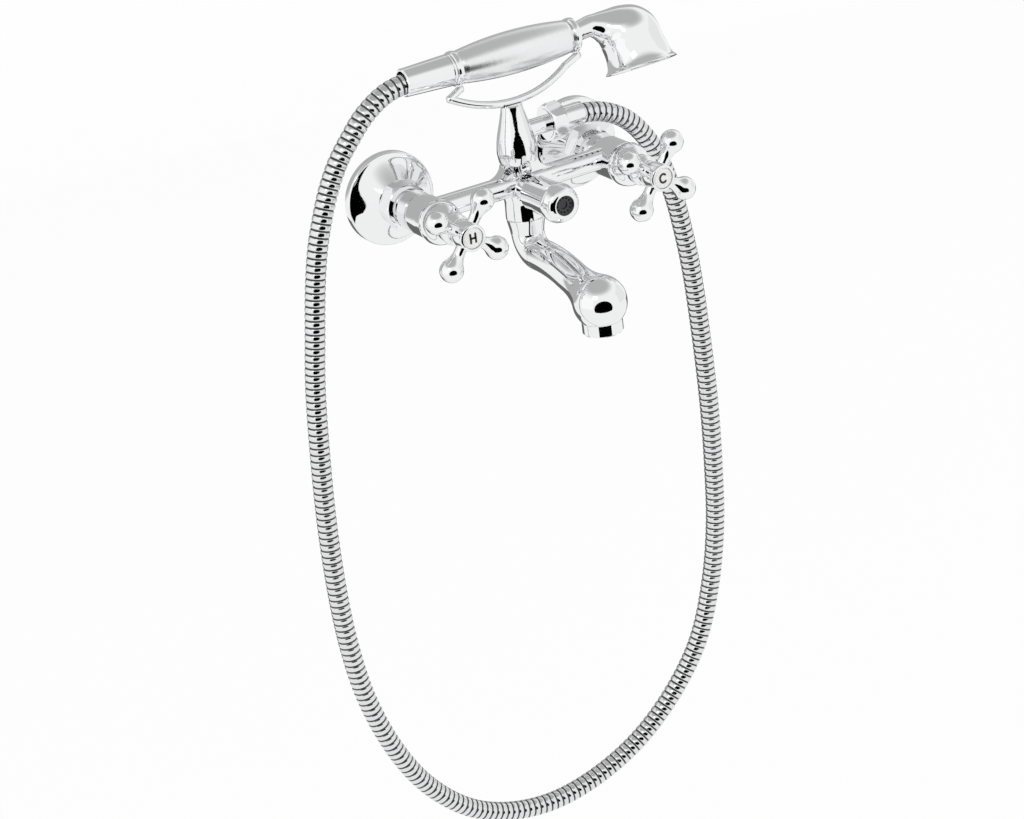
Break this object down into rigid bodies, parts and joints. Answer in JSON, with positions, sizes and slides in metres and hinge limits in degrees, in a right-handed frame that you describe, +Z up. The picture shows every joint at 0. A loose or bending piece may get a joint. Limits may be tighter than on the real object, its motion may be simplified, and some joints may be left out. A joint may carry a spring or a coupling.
{
  "type": "bath shower mixer",
  "caption": "Wall-mounted bath shower mixer with cross handles, swivelling bulb spout, pull diverter, cradle column, telephone handset and a ribbed hose",
  "frame": {"origin": "on the wall face, midway between the two inlets", "axes": "+X from the hot inlet to the cold inlet, +Y into the wall, +Z up"},
  "size_m": [0.326, 0.1789, 0.5912],
  "materials": {
    "chrome": "polished chrome plate",
    "brass": "machined",
    "rubber": "moulded",
    "ceramic": "lapped ceramic",
    "white_enamel": "glossy",
    "dark_inset": "satin",
    "steel": "bright",
    "nylon": "moulded"
  },
  "bodies": {
    "mixer": {"hot_wall_flange": "chrome", "cold_wall_flange": "chrome", "hot_wall_union": "chrome", "cold_wall_union": "chrome", "hot_union_nut": "chrome", "cold_union_nut": "chrome", "hot_gasket": "rubber", "cold_gasket": "rubber", "hot_housing": "chrome", "cold_housing": "chrome", "hot_seat_seal": "rubber", "cold_seat_seal": "rubber", "hot_fixed_disc": "ceramic", "cold_fixed_disc": "ceramic", "hot_headwork": "brass", "cold_headwork": "brass", "hot_bonnet_ring": "rubber", "cold_bonnet_ring": "rubber", "hot_shroud": "chrome", "cold_shroud": "chrome", "centre_body": "chrome", "diverter_bonnet": "chrome", "diverter_spring": "steel", "cradle_column": "chrome", "spout_grub_screw": "steel", "hose_nut": "chrome", "hose_washer": "rubber", "hose_ferrule": "chrome", "shower_hose": "chrome"},
    "hot_handle": {"hot_moving_disc": "ceramic", "hot_spindle": "brass", "hot_cross_handle": "chrome", "hot_handle_screw": "steel", "hot_index_button": "white_enamel"},
    "cold_handle": {"cold_moving_disc": "ceramic", "cold_spindle": "brass", "cold_cross_handle": "chrome", "cold_handle_screw": "steel", "cold_index_button": "white_enamel"},
    "diverter": {"diverter_rod": "brass", "diverter_seal": "rubber", "diverter_knob": "chrome", "diverter_inset": "dark_inset"},
    "swing_spout": {"spout": "chrome", "spout_low_ring": "rubber", "spout_high_ring": "rubber", "aerator_ring": "chrome", "aerator_insert": "nylon", "aerator_seal": "rubber"},
    "handset": {"hose_cone_nut": "chrome", "cone_washer": "rubber", "handset_tail": "chrome", "handset_grip": "chrome", "handset_bow": "chrome", "handset_head": "chrome", "spray_plate": "chrome", "spray_rivet": "chrome"}
  },
  "joints": [
    {"name": "hot_handle_turn", "type": "hinge", "parent": "mixer", "child": "hot_handle", "pos_m": [-0.075, -0.1, 0], "axis": [0, -1, 0], "range_deg": [0, 90]},
    {"name": "cold_handle_turn", "type": "hinge", "parent": "mixer", "child": "cold_handle", "pos_m": [0.075, -0.1, 0], "axis": [0, 1, 0], "range_deg": [0, 90]},
    {"name": "diverter_pull", "type": "slide", "parent": "mixer", "child": "diverter", "axis": [0, -1, 0], "range_m": [0, 0.007], "stiffness_N_per_m": 300, "deforming": ["diverter_spring"]},
    {"name": "spout_swivel", "type": "hinge", "parent": "mixer", "child": "swing_spout", "pos_m": [0, -0.057, -0.0213], "axis": [0, 0, 1], "range_deg": [-60, 60]},
    {"name": "handset_lift", "type": "slide", "parent": "mixer", "child": "handset", "axis": [0, 0, 1], "range_m": [0, 0.06], "deforming": ["shower_hose"]}
  ]
}
